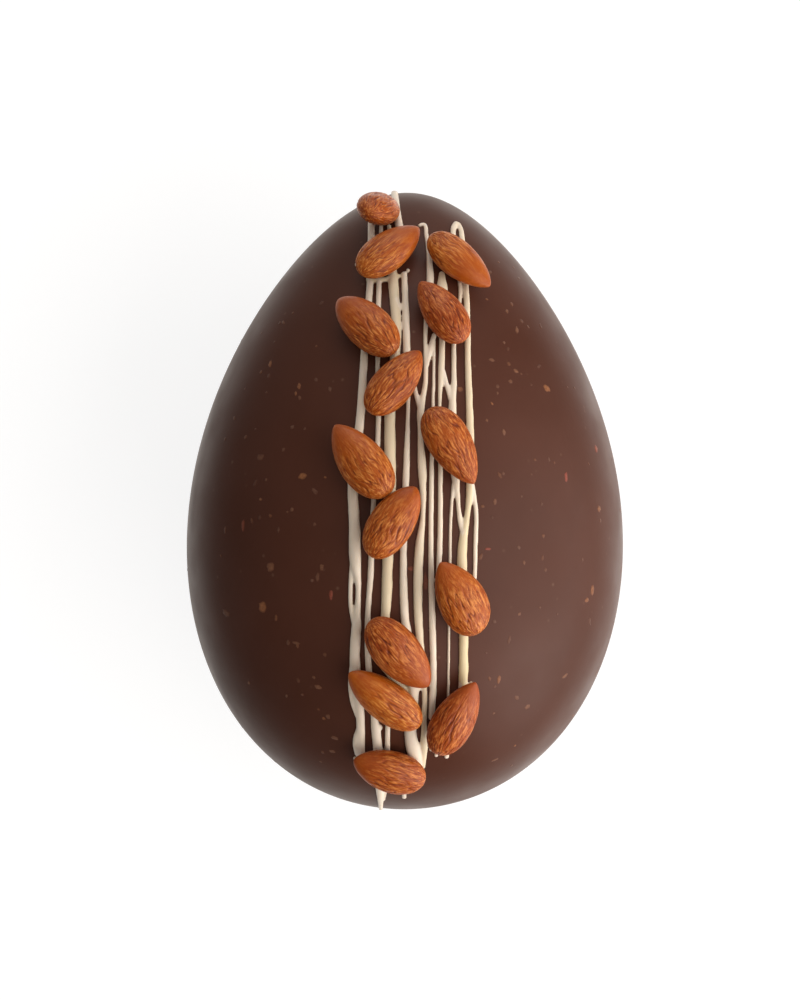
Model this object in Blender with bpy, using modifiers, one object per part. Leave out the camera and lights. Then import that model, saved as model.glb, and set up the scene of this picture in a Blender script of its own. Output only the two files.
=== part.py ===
"""A dark chocolate egg lying on its back, drizzled with white chocolate and set with whole almonds.

Metres, +Z up. The pointed end is towards +Y, the decorated face is up, and the origin is the
centre of the small flat spot that the egg rests on.
"""
import math

import bmesh
import bpy
import numpy as np
from mathutils import Matrix, Vector

MM = 0.001
TINY = 1e-9
WELD_DISTANCE = 0.01 * MM           # points nearer than this are one

# The shell. Its radius grows and shrinks with the station, -1 at the blunt end and 1 at the tip
HALF_LENGTH = 90 * MM
MID_RADIUS = 63 * MM
TAPER = (-0.165, -0.053, -0.042)    # share of the radius per station, station squared, station cubed
SHELL_RINGS = 33
SHELL_SIDES = 48
REST_DEPTH = 1.2 * MM               # how far the resting spot is cut into the back

# Places on the upper face are given as they look from straight above, on the level of the axis
EYE_HEIGHT = 950 * MM               # over the axis
NEAR_SHARE, FAR_SHARE = 0.88, 1.02  # stretch of a ray from the eye that can meet the shell
RAY_STEPS = 300

# Drizzle: each strand runs through points of x, y and width, in mm
STRAND_SIDES = 8
STRAND_STEP = 8.5 * MM              # between the cross-sections of a finished strand
STRAND_SINK = 0.2                   # how deep the middle lies in the shell, in half-widths
ALMOND_CLEARANCE = 0.35 * MM        # from a strand to any almond
SHORTEST_RUN = 2.5 * MM

STRANDS = {
    "far_left": ((-10.4, 84.0, 2.4), (-10.9, 61.6, 2.1), (-12.2, 44.0, 2.3), (-13.3, 24.0, 2.6),
                 (-15.4, 6.0, 2.8), (-14.7, -8.0, 3.3), (-14.4, -18.0, 3.3), (-13.4, -25.0, 1.6),
                 (-13.5, -30.5, 1.6), (-13.9, -36.0, 2.7), (-14.3, -46.7, 3.1), (-12.6, -63.0, 2.6),
                 (-12.3, -76.5, 2.6)),
    "far_left_twin": ((-15.0, -14.0, 1.5), (-15.7, -24.0, 1.4), (-15.7, -30.0, 1.4), (-14.6, -36.5, 1.5)),
    "left": ((-7.6, 83.0, 1.2), (-8.2, 61.0, 1.7), (-8.4, 41.7, 1.5), (-8.0, 23.6, 1.6),
             (-9.3, -2.0, 1.6), (-10.0, -23.3, 1.8), (-10.7, -35.6, 1.7), (-10.4, -47.0, 1.9),
             (-8.7, -63.0, 1.8), (-8.0, -67.0, 3.0), (-7.4, -71.5, 3.0), (-6.8, -82.6, 2.5), (-6.4, -90.4, 2.2)),
    "left_twin": ((-4.6, -64.0, 1.6), (-4.9, -67.5, 1.9), (-4.9, -75.0, 1.8)),
    "wide_left": ((-5.4, 80.6, 1.3), (-3.9, 62.0, 3.0), (-3.1, 52.8, 2.9), (-4.7, 24.0, 3.1),
                  (-4.5, 9.0, 3.4), (-5.0, -17.4, 3.1), (-5.3, -30.0, 2.9), (-6.0, -40.0, 2.2),
                  (-6.5, -47.8, 1.9), (-4.6, -50.3, 1.9), (-2.3, -53.0, 1.9), (1.8, -55.6, 2.2)),
    "top_loop": ((-3.9, 90.2, 2.2), (-3.3, 85.5, 2.3), (-1.5, 74.8, 2.4)),
    "middle": ((-0.9, 66.9, 1.8), (-0.1, 50.0, 2.1), (0.1, 43.0, 2.2), (0.6, 28.0, 1.3),
               (0.3, 12.0, 1.9), (-0.4, -14.0, 2.1), (0.0, -32.0, 2.4), (2.8, -55.3, 3.6),
               (3.1, -60.5, 3.5), (2.6, -68.0, 4.0), (3.6, -74.0, 4.0), (4.8, -77.5, 2.4)),
    "middle_right": ((3.2, 80.2, 1.3), (4.6, 80.9, 1.3), (5.6, 77.0, 1.4), (6.7, 64.6, 2.2),
                     (5.5, 50.0, 1.4), (5.4, 33.0, 1.6), (4.2, 26.0, 2.1), (4.2, 20.7, 1.6),
                     (4.8, 10.0, 2.5), (5.2, -4.1, 1.5), (4.3, -13.0, 2.5), (4.0, -32.0, 2.5),
                     (6.1, -57.0, 1.6), (6.0, -66.0, 1.7), (6.0, -72.0, 2.2), (5.8, -78.2, 1.3)),
    "short_join": ((2.2, 34.0, 1.4), (3.5, 28.9, 1.5), (4.3, 26.4, 1.6)),
    "slant_join": ((8.3, 49.1, 1.6), (6.9, 44.2, 1.6), (5.7, 38.8, 1.5)),
    "thin_right": ((8.1, 47.0, 1.0), (8.0, 29.5, 1.0), (7.8, 3.0, 1.4), (8.1, -14.3, 1.6),
                   (8.5, -36.0, 2.1), (8.6, -52.4, 2.0), (8.4, -58.5, 2.1), (8.1, -64.0, 1.6)),
    "right": ((10.1, 67.0, 1.6), (10.2, 61.7, 3.4), (10.4, 47.1, 1.9), (10.2, 38.0, 1.9),
              (9.9, 31.0, 1.3), (10.1, 5.0, 1.5), (10.0, -15.0, 1.5), (8.4, -22.5, 1.5)),
    "right_fork": ((10.6, 38.5, 1.5), (11.6, 34.8, 1.5), (13.2, 29.0, 1.6)),
    "far_right": ((14.1, 81.3, 1.9), (13.3, 78.4, 1.8), (15.5, 61.0, 1.2), (13.8, 45.0, 1.5),
                  (13.9, 35.4, 1.7), (13.5, 27.0, 2.4), (14.6, 7.0, 2.5), (15.3, 1.0, 1.5),
                  (16.2, -6.5, 1.6), (17.0, -9.5, 1.8)),
    "hair_right": ((14.0, 5.5, 1.1), (13.4, -4.0, 1.1), (13.2, -20.0, 1.0), (13.0, -58.0, 0.9)),
    "edge_right": ((14.1, 81.3, 1.9), (15.8, 78.2, 1.9), (17.2, 62.0, 1.8), (18.0, 39.0, 2.0),
                   (18.6, 24.0, 2.2), (18.9, 5.0, 3.0), (18.0, -4.0, 1.9), (17.0, -9.0, 2.8),
                   (17.4, -36.0, 2.9), (17.3, -55.0, 2.8)),
    "edge_fork": ((19.4, 5.5, 1.4), (20.5, -1.0, 1.4), (20.6, -13.0, 1.4), (20.3, -27.5, 1.3)),
}

# Almonds: place of the middle (x, y in mm as seen), heading of the tip in degrees clockwise from
# the egg's tip, length, width, thickness (mm), how far the tip is raised, how far it is rolled
# to its right (degrees), how pointed the tip is (0.5 being round), and the skin's redness from 0,
# golden, to 1
ALMOND_SEGMENTS = 12
ALMOND_RINGS = 10
ALMOND_GAP = 0.3 * MM               # from an almond's underside to the shell
ALMOND_BLUNT_POWER = 0.48           # how the outline closes at the blunt end, 0.5 being round
SETTLING_ROUNDS = 6                 # moves that bring an almond to its gap over the shell

ALMONDS = (
    (-8.3, 85.6, 0, 20.6, 12.2, 8.6, -28, 28, 0.62, 0.6),
    (-5.2, 73.2, 40, 23.1, 12.8, 8.8, 0, 0, 0.66, 0.2),
    (15.5, 70.4, 144, 22.8, 12.3, 8.6, 0, 0, 0.66, 0.4),
    (-11.8, 51.1, -46, 24.7, 12.8, 9.0, 0, 0, 0.58, 0.6),
    (10.2, 55.5, -28, 22.0, 12.0, 8.8, 0, 0, 0.68, 0.9),
    (-3.3, 34.8, 36, 22.8, 12.0, 8.6, 0, 0, 0.66, 0.5),
    (13.4, 16.1, 151, 24.1, 12.7, 9.0, 0, 0, 0.74, 0.6),
    (-13.0, 11.8, -39, 25.0, 13.3, 9.0, 0, 0, 0.74, 0.4),
    (-3.5, -6.2, 33, 22.6, 12.5, 8.6, 0, 0, 0.60, 0.5),
    (16.1, -28.3, -30, 22.6, 13.8, 9.0, 0, 0, 0.70, 0.3),
    (-1.3, -44.7, 140, 24.6, 13.3, 9.0, 0, 0, 0.62, 0.9),
    (-5.6, -58.2, -49, 25.0, 12.1, 8.8, 0, 0, 0.62, 0.0),
    (15.4, -63.5, 18, 24.6, 12.6, 8.8, 0, 0, 0.70, 0.8),
    (-4.0, -79.0, -66, 21.2, 12.9, 9.0, 0, 18, 0.62, 0.5),
)

CHOCOLATE = (0.072, 0.024, 0.014)
CHOCOLATE_ROUGHNESS = 0.42
GOLDEN_SKIN = (0.48, 0.13, 0.020)
RED_SKIN = (0.36, 0.075, 0.013)
SKIN_ROUGHNESS = 0.4
SHARP_FROM = math.radians(35)       # an edge that turns more than this shows as an edge


def shell_radius(station):
    """Radius of the shell at a station from -1, the blunt end, to 1, the tip."""
    growth = 1 + sum(k * station ** (power + 1) for power, k in enumerate(TAPER))
    return MID_RADIUS * np.sqrt(np.clip(1 - station ** 2, 0, None)) * growth


# The profile, close enough together to measure distances by
STATIONS = np.sin(np.linspace(-math.pi / 2, math.pi / 2, 721))
PROFILE = np.column_stack((HALF_LENGTH * STATIONS, shell_radius(STATIONS)))

WIDEST = int(PROFILE[:, 1].argmax())
CENTRE = Vector((0, -PROFILE[WIDEST, 0], PROFILE[WIDEST, 1] - REST_DEPTH))


def clearance(points):
    """Distance from the shell's surface to each point, below zero inside. The axis is Y."""
    points = np.atleast_2d(points)
    reach = np.hypot(points[:, 0], points[:, 2])
    gaps = np.hypot(points[:, 1, None] - PROFILE[:, 0], reach[:, None] - PROFILE[:, 1])
    inside = reach < np.interp(points[:, 1], PROFILE[:, 0], PROFILE[:, 1])
    return np.where(inside, -1, 1) * gaps.min(axis=1)


def normal(point):
    """Direction straight out of the shell at a point near its surface."""
    step = 0.5 * MM
    slopes = [clearance(point + step * axis)[0] - clearance(point - step * axis)[0] for axis in np.eye(3)]
    return np.array(slopes) / np.linalg.norm(slopes)


def lift(x, y, height=0.0):
    """The point this height over the shell that looks to be at x, y from the eye."""
    eye = np.array((0, 0, EYE_HEIGHT))
    ray = np.array((x, y, 0)) - eye
    line = eye + np.linspace(NEAR_SHARE, FAR_SHARE, RAY_STEPS)[:, None] * ray
    gaps = clearance(line) - height
    below = np.flatnonzero(gaps < 0)
    if below.size:
        after = below[0]
        share = gaps[after - 1] / (gaps[after - 1] - gaps[after])
        return line[after - 1] + share * (line[after] - line[after - 1])
    nearest = gaps.argmin()
    return line[nearest] - gaps[nearest] * normal(line[nearest])


def smooth_route(points, step=1.0 * MM):
    """Rows of x, y and width at even steps along a smooth curve through the given rows."""
    rows = np.array(points) * MM
    along = np.concatenate(([0], np.cumsum(np.hypot(*np.diff(rows[:, :2], axis=0).T))))
    tangents = np.gradient(rows, along, axis=0)
    places = np.linspace(0, along[-1], int(along[-1] / step) + 2)
    left = np.clip(np.searchsorted(along, places, side="right") - 1, 0, len(along) - 2)
    span = (along[left + 1] - along[left])[:, None]
    t = (places - along[left])[:, None] / span
    return ((2 * t ** 3 - 3 * t ** 2 + 1) * rows[left] + (t ** 3 - 2 * t ** 2 + t) * span * tangents[left]
            + (3 * t ** 2 - 2 * t ** 3) * rows[left + 1] + (t ** 3 - t ** 2) * span * tangents[left + 1])


def almond_outline(place, tip_power):
    """Half-width of an almond, as a share of its greatest, from -1 at the blunt end to 1 at the tip."""
    widest = (ALMOND_BLUNT_POWER - tip_power) / (ALMOND_BLUNT_POWER + tip_power)
    place = np.clip(place, -1, 1)

    def closing(s):
        return (1 - s) ** tip_power * (1 + s) ** ALMOND_BLUNT_POWER

    return closing(place) / closing(widest)


def make_material(name, colour, roughness):
    material = bpy.data.materials.new(name)
    material.use_nodes = True
    shader = material.node_tree.nodes["Principled BSDF"]
    shader.inputs["Base Color"].default_value = (*colour, 1)
    shader.inputs["Roughness"].default_value = roughness
    material.diffuse_color = (*colour, 1)
    return material


def clear_scene():
    for thing in list(bpy.data.objects):
        bpy.data.objects.remove(thing, do_unlink=True)


def new_collection(name):
    collection = bpy.data.collections.new(name)
    bpy.context.scene.collection.children.link(collection)
    return collection


def take_active(name, collection):
    """Rename the object just added and move it into a collection."""
    thing = bpy.context.active_object
    thing.name = name
    thing.data.name = name
    for other in list(thing.users_collection):
        other.objects.unlink(thing)
    collection.objects.link(thing)
    return thing


def almond_mesh(length, width, thickness, tip_power):
    """A closed almond about the origin: tip towards +Y, flat side up."""
    form = bmesh.new()
    bmesh.ops.create_uvsphere(form, u_segments=ALMOND_SEGMENTS, v_segments=ALMOND_RINGS, radius=1)
    bmesh.ops.rotate(form, verts=form.verts, matrix=Matrix.Rotation(-math.pi / 2, 3, "X"))
    for vertex in form.verts:
        place = vertex.co.y
        round_width = math.sqrt(max(1 - place ** 2, TINY))
        share = float(almond_outline(place, tip_power)) / round_width
        vertex.co = (vertex.co.x * share * width / 2, place * length / 2,
                     vertex.co.z * share * thickness / 2)
    mesh = bpy.data.meshes.new("almond")
    form.to_mesh(mesh)
    form.free()
    mesh.shade_smooth()
    return mesh


def almond_pose(row, mesh):
    """Where an almond lies: on the shell at its seen place, turned, raised and rolled, just clear."""
    x, y, heading, length, width, thickness, raise_tip, roll = row[:8]
    corners = np.array([vertex.co[:] for vertex in mesh.vertices])
    height = thickness * MM / 2 + ALMOND_GAP
    for _ in range(SETTLING_ROUNDS):
        middle = lift(x * MM, y * MM, height)
        up = Vector(normal(middle))
        towards_tip = (Vector((0, 1, 0)) - up * up.y).normalized()
        turn = Matrix((towards_tip.cross(up), towards_tip, up)).transposed()
        turn = turn @ Matrix.Rotation(math.radians(-heading), 3, "Z")
        turn = turn @ Matrix.Rotation(math.radians(raise_tip), 3, "X")
        turn = turn @ Matrix.Rotation(math.radians(roll), 3, "Y")
        placed = corners @ np.array(turn).T + middle
        height += ALMOND_GAP - clearance(placed).min()
    return Matrix.Translation(Vector(middle)) @ turn.to_4x4()


def add_almonds(collection):
    """The almonds, and for each its pose about the shell's middle, half sizes and tip."""
    poses = []
    for number, row in enumerate(ALMONDS, start=1):
        length, width, thickness = (size * MM for size in row[3:6])
        tip_power, redness = row[8:]
        mesh = almond_mesh(length, width, thickness, tip_power)
        pose = almond_pose(row, mesh)
        almond = bpy.data.objects.new(f"almond_{number:02d}", mesh)
        collection.objects.link(almond)
        almond.matrix_world = Matrix.Translation(CENTRE) @ pose
        colour = [(1 - redness) * a + redness * b for a, b in zip(GOLDEN_SKIN, RED_SKIN)]
        mesh.materials.append(make_material(f"almond_skin_{number:02d}", colour, SKIN_ROUGHNESS))
        poses.append((np.array(pose.inverted()), length / 2, width / 2, thickness / 2, tip_power))
    return poses


def is_blocked(point, half_width, almonds):
    """Whether a strand of this half-width would come too close to an almond here."""
    reach = half_width + ALMOND_CLEARANCE
    for inverse, half_length, half_across, half_thick, tip_power in almonds:
        local = inverse[:3, :3] @ point + inverse[:3, 3]
        if abs(local[1]) > half_length + reach:
            continue
        share = float(almond_outline(local[1] / half_length, tip_power))
        across = local[0] / (half_across * share + reach)
        through = local[2] / (half_thick * share + reach)
        if across ** 2 + through ** 2 < 1:
            return True
    return False


def free_runs(rows, almonds):
    """The stretches of a strand that are clear of the almonds, as rows of point and half-width."""
    runs = [[]]
    for x, y, width in rows:
        half_width = width / 2
        point = lift(x, y)
        point = point - STRAND_SINK * half_width * normal(point)
        if is_blocked(point, half_width, almonds):
            runs.append([])
        else:
            runs[-1].append((*point, half_width))
    runs = [np.array(run) for run in runs if len(run) > 1]
    return [run for run in runs if np.linalg.norm(run[-1, :3] - run[0, :3]) > SHORTEST_RUN]


def add_tube(name, run, collection):
    """A closed strand along a run, as a mesh placed about the shell's middle."""
    length = np.linalg.norm(np.diff(run[:, :3], axis=0), axis=1).sum()
    count = max(3, round(length / STRAND_STEP) + 1)
    chosen = run[np.linspace(0, len(run) - 1, count).round().astype(int)]
    curve = bpy.data.curves.new(name, "CURVE")
    curve.dimensions = "3D"
    curve.bevel_mode = "ROUND"
    curve.bevel_depth = 1
    curve.bevel_resolution = STRAND_SIDES // 2 - 2
    curve.use_fill_caps = True
    spline = curve.splines.new("POLY")
    spline.points.add(len(chosen) - 1)
    for point, (x, y, z, half_width) in zip(spline.points, chosen):
        point.co = (x, y, z, 1)
        point.radius = half_width
    guide = bpy.data.objects.new(name, curve)
    guide.location = CENTRE
    collection.objects.link(guide)
    bpy.context.view_layer.update()
    mesh = bpy.data.meshes.new_from_object(guide.evaluated_get(bpy.context.evaluated_depsgraph_get()))
    form = bmesh.new()
    form.from_mesh(mesh)
    bmesh.ops.remove_doubles(form, verts=form.verts, dist=WELD_DISTANCE)
    form.to_mesh(mesh)
    form.free()
    tube = bpy.data.objects.new(name + "_tube", mesh)
    tube.matrix_world = guide.matrix_world
    collection.objects.link(tube)
    bpy.data.objects.remove(guide, do_unlink=True)


def add_drizzle(almonds):
    """Every strand's free runs, in a collection of their own."""
    drizzle = new_collection("drizzle")
    for name, points in STRANDS.items():
        for number, run in enumerate(free_runs(smooth_route(points), almonds)):
            add_tube(f"{name}_{number}", run, drizzle)
    return drizzle


def add_shell(collection):
    """The turned egg, pointed end towards +Y."""
    angles = np.linspace(0, math.pi, SHELL_RINGS + 1)
    stations = np.cos(angles)
    radii = shell_radius(stations)
    radii[[0, -1]] = 0
    mesh = bpy.data.meshes.new("egg")
    mesh.from_pydata([(radius, 0, HALF_LENGTH * station) for radius, station in zip(radii, stations)],
                     [(ring, ring + 1) for ring in range(SHELL_RINGS)], [])
    egg = bpy.data.objects.new("egg", mesh)
    egg.location = CENTRE
    egg.rotation_euler = (-math.pi / 2, 0, 0)
    collection.objects.link(egg)
    screw = egg.modifiers.new("turned", "SCREW")
    screw.angle = 2 * math.pi
    screw.steps = SHELL_SIDES
    screw.render_steps = SHELL_SIDES
    screw.use_merge_vertices = True
    screw.merge_threshold = WELD_DISTANCE
    return egg


def add_floor_cutter(collection):
    """A block whose top is the level that the egg rests on."""
    depth = 20 * MM
    bpy.ops.mesh.primitive_cube_add(size=1, location=(0, 0, -depth / 2))
    cutter = take_active("floor_cutter", collection)
    cutter.scale = (2 * MID_RADIUS, 2 * HALF_LENGTH, depth)
    cutter.hide_render = True
    cutter.display_type = "WIRE"
    return cutter


def finish_egg(egg, drizzle, cutters):
    """Cut the resting spot, join the strands to the shell and keep the result as one mesh."""
    cut = egg.modifiers.new("resting_spot", "BOOLEAN")
    cut.operation = "DIFFERENCE"
    cut.object = add_floor_cutter(cutters)
    join = egg.modifiers.new("drizzle", "BOOLEAN")
    join.operation = "UNION"
    join.operand_type = "COLLECTION"
    join.collection = drizzle
    bpy.context.view_layer.update()
    mesh = bpy.data.meshes.new_from_object(egg.evaluated_get(bpy.context.evaluated_depsgraph_get()))
    egg.modifiers.clear()
    egg.data = mesh
    mesh.name = "egg"
    mesh.materials.clear()
    mesh.materials.append(make_material("dark_chocolate", CHOCOLATE, CHOCOLATE_ROUGHNESS))
    mesh.shade_smooth()
    mesh.set_sharp_from_angle(angle=SHARP_FROM)
    for collection in (drizzle, cutters):
        for thing in list(collection.objects):
            bpy.data.objects.remove(thing, do_unlink=True)
        bpy.data.collections.remove(collection)


def main():
    clear_scene()
    parts = new_collection("chocolate_egg")
    almonds = add_almonds(parts)
    egg = add_shell(parts)
    finish_egg(egg, add_drizzle(almonds), new_collection("cutters"))


main()
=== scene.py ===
"""The looks of the chocolate egg: a satin shell with fine inclusions, drizzle and whole almonds."""
import math
import random

import bmesh
import bpy
import numpy as np
from mathutils import Matrix, Vector, kdtree, noise


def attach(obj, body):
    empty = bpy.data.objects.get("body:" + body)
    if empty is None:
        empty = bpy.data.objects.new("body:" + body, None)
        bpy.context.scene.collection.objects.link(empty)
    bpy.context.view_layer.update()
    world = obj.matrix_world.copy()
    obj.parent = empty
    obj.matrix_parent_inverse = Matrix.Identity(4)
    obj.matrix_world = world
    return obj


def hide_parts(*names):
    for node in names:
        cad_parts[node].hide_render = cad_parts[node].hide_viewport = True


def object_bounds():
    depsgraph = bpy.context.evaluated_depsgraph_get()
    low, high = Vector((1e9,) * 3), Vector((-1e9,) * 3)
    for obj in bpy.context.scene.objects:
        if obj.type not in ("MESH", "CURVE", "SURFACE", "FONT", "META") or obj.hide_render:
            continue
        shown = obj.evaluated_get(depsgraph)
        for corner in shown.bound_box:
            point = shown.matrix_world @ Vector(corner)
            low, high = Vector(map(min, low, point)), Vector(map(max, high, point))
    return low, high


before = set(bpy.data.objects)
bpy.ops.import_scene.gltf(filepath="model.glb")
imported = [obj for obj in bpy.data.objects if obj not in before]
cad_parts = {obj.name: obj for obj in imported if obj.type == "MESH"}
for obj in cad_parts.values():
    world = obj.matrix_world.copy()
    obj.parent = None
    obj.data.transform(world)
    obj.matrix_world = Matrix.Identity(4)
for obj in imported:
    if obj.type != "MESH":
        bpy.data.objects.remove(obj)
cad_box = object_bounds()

MM = 0.001

# The shell, as the solid has it
HALF_LENGTH = 90 * MM
MID_RADIUS = 63 * MM
TAPER = (-0.165, -0.053, -0.042)
REST_DEPTH = 1.2 * MM
SHELL_INSET = 0.1 * MM              # the shown skin under the solid's
SHELL_RINGS = 180
SHELL_SIDES = 240
STATION_COUNT = 721

# Places on the upper face are given as they look from the camera, on the level of the axis
EYE_HEIGHT = 950 * MM
NEAR_SHARE, FAR_SHARE = 0.88, 1.02  # stretch of a ray from the eye that can meet the shell
RAY_STEPS = 1500

# The photograph's frame: pixels for each metre on the level of the axis, and where the middle falls
FRAME_WIDTH = 800
FRAME_HEIGHT = 1000
SCALE = 3419
MIDDLE_X = 405.24
MIDDLE_Y = 500.75
LEAN = math.radians(0.476)
SENSOR = 36

# Drizzle: each strand runs through points of x, y and width, in mm
STRANDS = {
    "far_left": ((-10.4, 84.0, 2.4), (-10.9, 61.6, 2.1), (-12.2, 44.0, 2.3), (-13.3, 24.0, 2.6),
                 (-15.4, 6.0, 2.8), (-14.7, -8.0, 3.3), (-14.4, -18.0, 3.3), (-13.5, -25.0, 1.8),
                 (-13.6, -30.5, 1.8), (-13.9, -36.0, 2.7), (-14.3, -46.7, 3.1), (-12.6, -63.0, 2.6),
                 (-12.3, -76.5, 2.6)),
    "far_left_twin": ((-15.0, -14.0, 1.5), (-15.7, -24.0, 1.4), (-15.7, -30.0, 1.4), (-14.6, -36.5, 1.5)),
    "left": ((-7.6, 83.0, 1.2), (-8.2, 61.0, 1.7), (-8.4, 41.7, 1.5), (-8.0, 23.6, 1.6),
             (-9.3, -2.0, 1.6), (-10.0, -23.3, 1.8), (-10.7, -35.6, 1.7), (-10.4, -47.0, 1.9),
             (-8.7, -63.0, 1.8), (-8.0, -67.0, 2.8), (-7.5, -71.5, 2.8), (-6.8, -82.6, 2.8),
             (-6.4, -90.4, 1.2)),
    "left_twin": ((-4.5, -64.0, 1.5), (-4.6, -67.5, 1.6), (-4.6, -75.0, 1.7)),
    "wide_left": ((-5.4, 80.6, 1.3), (-3.9, 62.0, 3.0), (-3.1, 52.8, 2.9), (-4.7, 24.0, 3.1),
                  (-4.5, 9.0, 3.4), (-5.0, -17.4, 3.1), (-5.3, -30.0, 2.9), (-6.0, -40.0, 2.2),
                  (-6.5, -47.8, 1.9), (-4.6, -50.3, 1.9), (-2.3, -53.0, 1.9), (1.8, -55.6, 2.2)),
    "top_loop": ((-3.9, 90.2, 2.2), (-3.3, 85.5, 2.3), (-1.5, 74.8, 2.4)),
    "middle": ((-0.9, 66.9, 1.8), (-0.1, 50.0, 2.1), (0.1, 43.0, 2.2), (0.6, 28.0, 1.3),
               (0.3, 12.0, 1.9), (-0.4, -14.0, 2.1), (0.0, -32.0, 2.4), (2.8, -55.3, 3.4),
               (2.5, -60.5, 3.2), (2.1, -68.0, 3.6), (3.4, -74.0, 4.0), (4.8, -77.5, 2.4)),
    "middle_right": ((3.2, 80.2, 1.3), (4.6, 80.9, 1.3), (5.6, 77.0, 1.4), (6.7, 64.6, 2.2),
                     (5.5, 50.0, 1.4), (5.4, 33.0, 1.6), (4.2, 26.0, 2.1), (4.2, 20.7, 1.6),
                     (4.8, 10.0, 2.5), (5.2, -4.1, 1.5), (4.3, -13.0, 2.5), (4.0, -32.0, 2.5),
                     (6.1, -57.0, 1.6), (6.0, -66.0, 1.7), (6.0, -72.0, 2.2), (5.8, -78.2, 1.3)),
    "short_join": ((2.2, 34.0, 1.4), (3.5, 28.9, 1.5), (4.3, 26.4, 1.6)),
    "slant_join": ((8.3, 49.1, 1.6), (6.9, 44.2, 1.6), (5.7, 38.8, 1.5)),
    "thin_right": ((8.1, 47.0, 1.0), (7.9, 29.5, 1.1), (7.6, 3.0, 1.5), (7.6, -14.3, 1.6),
                   (8.2, -36.0, 2.0), (8.6, -52.4, 2.0), (8.4, -58.5, 2.1), (8.1, -64.0, 1.6)),
    "right": ((10.1, 67.0, 1.6), (10.2, 61.7, 3.4), (10.4, 47.1, 1.9), (10.2, 38.0, 1.9),
              (9.9, 31.0, 1.3), (10.2, 5.0, 1.5), (10.2, -10.0, 1.6), (10.0, -18.0, 1.6),
              (9.8, -24.0, 1.4)),
    "right_fork": ((10.6, 38.5, 1.5), (11.6, 34.8, 1.5), (13.2, 29.0, 1.6)),
    "far_right": ((14.4, 81.4, 1.8), (13.5, 80.0, 1.8), (13.3, 77.0, 1.7), (15.5, 61.0, 1.2),
                  (13.8, 45.0, 1.5), (13.9, 35.4, 1.7), (13.5, 27.0, 2.4), (14.6, 7.0, 2.5),
                  (15.3, 1.0, 1.5), (16.2, -6.5, 1.6), (17.0, -9.5, 1.8)),
    "hair_right": ((14.0, 5.5, 1.1), (13.4, -4.0, 1.1), (13.2, -20.0, 1.0), (13.0, -58.0, 0.9)),
    "edge_right": ((14.4, 81.4, 1.8), (15.3, 80.0, 1.8), (15.9, 77.0, 1.8), (17.2, 62.0, 1.8),
                   (18.0, 39.0, 2.0), (18.6, 24.0, 2.2), (18.9, 5.0, 2.4), (18.1, -4.0, 1.8),
                   (17.1, -10.0, 2.5), (17.4, -36.0, 2.8), (17.3, -55.0, 2.8)),
    "edge_fork": ((19.4, 5.5, 1.4), (20.5, -1.0, 1.4), (20.6, -13.0, 1.4), (20.3, -27.5, 1.3)),
}

# Runs too small for the solid, in the same way
SMALL_STRANDS = {
    "pool": ((-12.0, 64.6, 1.3), (-9.7, 64.2, 1.4), (-6.2, 64.6, 1.8), (-3.8, 65.0, 2.4),
             (-2.0, 66.0, 1.2)),
    "upper_join": ((-3.0, 58.2, 1.1), (-1.7, 56.6, 1.1), (-0.4, 55.0, 1.1)),
    "rim": ((-14.9, -47.0, 1.6), (-15.5, -53.5, 1.6), (-14.9, -58.5, 1.6), (-13.2, -63.5, 1.6)),
    "wedge": ((4.4, -71.0, 1.4), (4.8, -73.5, 2.2), (5.4, -76.5, 1.8)),
    "foot": ((-12.8, -66.0, 1.6), (-13.5, -70.6, 2.6), (-13.2, -74.6, 1.8)),
    "last_fork": ((-5.9, -80.6, 1.1), (-5.0, -83.8, 1.0), (-5.5, -87.6, 0.9)),
}

# Drops of white chocolate at the almonds' edges: x, y and width, in mm
DROPS = ((0.4, -86.2, 1.5), (12.8, -74.4, 1.6), (8.3, -72.4, 1.5), (9.7, -74.2, 1.3),
         (7.1, -53.4, 1.4), (5.0, -54.7, 1.5), (16.4, -54.3, 1.3), (19.6, -53.2, 1.3), (-14.8, 69.0, 1.2),
         (-6.9, -66.3, 1.8), (-11.7, -59.9, 1.0), (0.2, 67.3, 1.2), (-14.0, -75.4, 1.2))

# How creamy each strand is at its start and at its end, from 0, nearly white, to 1, the creamiest, whose
# colour is also darkened as painted shade
CREAM_AND_SHADE = {"wide_left": (0.5, 0.7), "middle_right": (0.1, 0.6), "right": (0.5, 0.1), "far_right": (0.3, 0.2),
         "edge_right": (0.3, 1.0), "pool": (0.6, 0.6)}
PLAIN_CREAM = (0.12, 0.12)          # the rest

STRAND_SAMPLE = 0.5 * MM
STRAND_SIDES = 14
STRAND_RISE = 0.42                  # height over the shell, as a share of the width
DROP_RISE = 0.3
STRAND_ROOT = 0.5 * MM              # how deep the strand reaches into the shell
STRAND_VOXEL = 0.25 * MM
STRAND_SMOOTHING = 6
STRAND_THINNING = 0.48              # share of the faces that is kept after melting
WAVER = 0.08 * MM                   # how far a strand strays to its sides
WAVES, RIPPLES = 0.07, 0.03         # how much its width comes and goes, slowly and quickly
WAVE_STEP, RIPPLE_STEP = 0.13, 0.42
STRAND_PHASE = 37.7                 # keeps the strands' waves apart

# Light
# Square soft lights: place, size, power and colour
PANELS = {
    "right_light": ((1.2, -0.43, 0.6), 2.6, 53, (1, 0.97, 0.93)),
    "low_light": ((1.33, -0.88, 0.27), 0.8, 6, (1, 0.95, 0.88)),
    "tip_light": ((0.1, 1.5, 0.45), 1.2, 6, (1, 1, 1)),
}
FLOOR_SHADE = 0.25
FLOOR_GLOW = 0.82                   # keeps the floor near white beside the dark egg
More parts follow.
